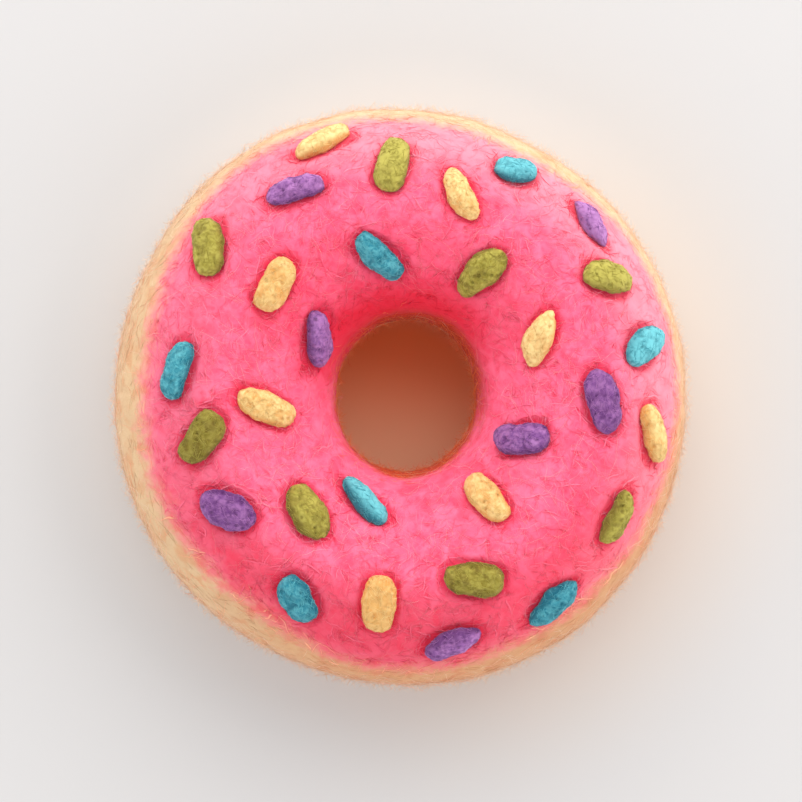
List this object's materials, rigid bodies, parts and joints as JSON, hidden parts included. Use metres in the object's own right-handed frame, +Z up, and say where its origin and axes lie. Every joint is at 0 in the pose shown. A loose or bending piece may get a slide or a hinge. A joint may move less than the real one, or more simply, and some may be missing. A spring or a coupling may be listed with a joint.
{
  "type": "needle-felted doughnut",
  "caption": "Ring doughnut of needle-felted wool: a plump ring with a round hole through it, a felted icing over its top and short sprinkles felted into the icing.",
  "frame": {"origin": "middle of the footprint, on the surface the doughnut rests on", "axes": "+Z up through the hole; +X to the right and +Y to the top of the picture, which looks straight down"},
  "size_m": [0.0893, 0.0901, 0.0342],
  "materials": {
    "ring_wool": "matt butter-yellow felted wool, fuzzy",
    "icing_wool": "matt bright pink felted wool, fuzzy",
    "green_wool": "matt olive green felted wool, the sprinkles of that colour",
    "purple_wool": "matt purple felted wool, the sprinkles of that colour",
    "teal_wool": "matt teal felted wool, the sprinkles of that colour",
    "yellow_wool": "matt warm yellow felted wool, the sprinkles of that colour"
  },
  "bodies": {
    "root": {"ring": "ring_wool", "icing": "icing_wool"}
  },
  "joints": []
}
